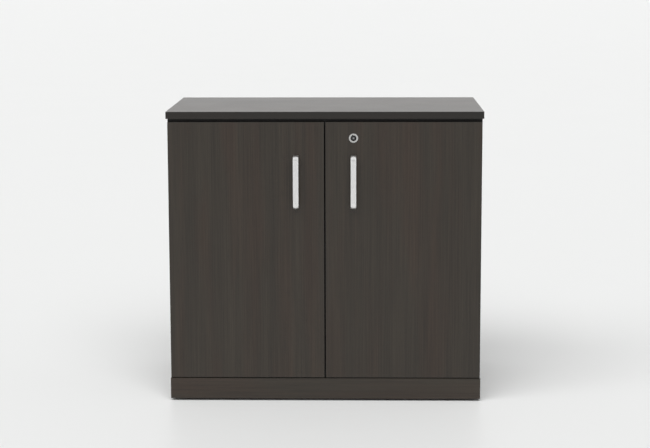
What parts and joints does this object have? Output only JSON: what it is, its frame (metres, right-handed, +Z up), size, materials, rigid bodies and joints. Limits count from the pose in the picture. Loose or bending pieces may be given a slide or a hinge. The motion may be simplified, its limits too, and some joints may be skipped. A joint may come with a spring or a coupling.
{
  "type": "storage cabinet",
  "caption": "Low office cupboard in dark wood-grain board with a pair of overlaid hinged doors, bow handles, a cam lock, an inner shelf and a plinth on levelling feet.",
  "frame": {"origin": "bottom centre of the whole object's box, on the floor, handles included", "axes": "+X along the width to the right seen from the front, +Y from the doors to the back, +Z up"},
  "size_m": [0.805, 0.478, 0.75],
  "materials": {
    "dark_laminate": "satin dark wood-grain laminate",
    "dark_edging": "satin edge strip in the laminate's colour",
    "satin_aluminium": "satin anodised",
    "bright_chrome": "polished",
    "nickel_plated_steel": "nickel plated",
    "zinc_steel": "zinc plated",
    "black_plastic": "matt moulded",
    "grey_bumper": "soft translucent grey",
    "pale_timber": "raw beech"
  },
  "bodies": {
    "root": {"top_slab": "dark_laminate", "top_slab_edging": "dark_edging", "inner_top": "dark_laminate", "bottom_panel": "dark_laminate", "left_side": "dark_laminate", "right_side": "dark_laminate", "back_panel": "dark_laminate", "carcass_edging": "dark_edging", "dowels": "pale_timber", "cam_bolts": "zinc_steel", "cam_fittings": "zinc_steel", "slab_screws": "zinc_steel", "shelf": "dark_laminate", "shelf_edging": "dark_edging", "shelf_pins": "zinc_steel", "plinth_front": "dark_laminate", "plinth_left_rail": "dark_laminate", "plinth_right_rail": "dark_laminate", "plinth_rear": "dark_laminate", "plinth_blocks": "pale_timber", "plinth_screws": "zinc_steel", "leveller_nuts": "zinc_steel", "hinge_arms": "nickel_plated_steel", "hinge_arm_screws": "zinc_steel", "hinge_plates": "nickel_plated_steel", "hinge_plate_screws": "zinc_steel", "strike_plate": "zinc_steel", "bolt_keeper": "zinc_steel", "catch_screws": "zinc_steel"},
    "left_door": {"left_door_panel": "dark_laminate", "left_door_edging": "dark_edging", "left_handle": "satin_aluminium", "left_handle_screws": "zinc_steel", "left_door_bumpers": "grey_bumper", "left_hinge_cups": "nickel_plated_steel", "left_hinge_pins": "zinc_steel", "left_cup_screws": "zinc_steel", "bolt_guide": "zinc_steel", "bolt_guide_screws": "zinc_steel"},
    "slide_bolt": {"slide_bolt": "zinc_steel"},
    "right_door": {"right_door_panel": "dark_laminate", "right_door_edging": "dark_edging", "right_handle": "satin_aluminium", "right_handle_screws": "zinc_steel", "right_door_bumpers": "grey_bumper", "right_hinge_cups": "nickel_plated_steel", "right_hinge_pins": "zinc_steel", "right_cup_screws": "zinc_steel", "lock_housing": "bright_chrome", "lock_nut": "zinc_steel"},
    "lock_core": {"lock_plug": "bright_chrome", "lock_cam": "zinc_steel", "lock_cam_screw": "zinc_steel"},
    "front_left_foot": {"front_left_foot": "black_plastic"},
    "front_right_foot": {"front_right_foot": "black_plastic"},
    "rear_left_foot": {"rear_left_foot": "black_plastic"},
    "rear_right_foot": {"rear_right_foot": "black_plastic"}
  },
  "joints": [
    {"name": "left_door_hinge", "type": "hinge", "parent": "root", "child": "left_door", "pos_m": [-0.3915, -0.2036, 0.393], "axis": [0, 0, -1], "range_deg": [0, 95]},
    {"name": "right_door_hinge", "type": "hinge", "parent": "root", "child": "right_door", "pos_m": [0.3915, -0.2036, 0.393], "axis": [0, 0, 1], "range_deg": [0, 95]},
    {"name": "lock_turn", "type": "hinge", "parent": "right_door", "child": "lock_core", "pos_m": [0.073, -0.2, 0.683], "axis": [0, -1, 0], "range_deg": [0, 90]},
    {"name": "bolt_slide", "type": "slide", "parent": "left_door", "child": "slide_bolt", "axis": [0, 0, 1], "range_m": [0, 0.013]},
    {"name": "front_left_foot_turn", "type": "hinge", "parent": "root", "child": "front_left_foot", "pos_m": [-0.357, -0.168, 0], "axis": [0, 0, 1], "continuous": true},
    {"name": "front_right_foot_turn", "type": "hinge", "parent": "root", "child": "front_right_foot", "pos_m": [0.357, -0.168, 0], "axis": [0, 0, 1], "continuous": true},
    {"name": "rear_left_foot_turn", "type": "hinge", "parent": "root", "child": "rear_left_foot", "pos_m": [-0.357, 0.166, 0], "axis": [0, 0, 1], "continuous": true},
    {"name": "rear_right_foot_turn", "type": "hinge", "parent": "root", "child": "rear_right_foot", "pos_m": [0.357, 0.166, 0], "axis": [0, 0, 1], "continuous": true}
  ]
}
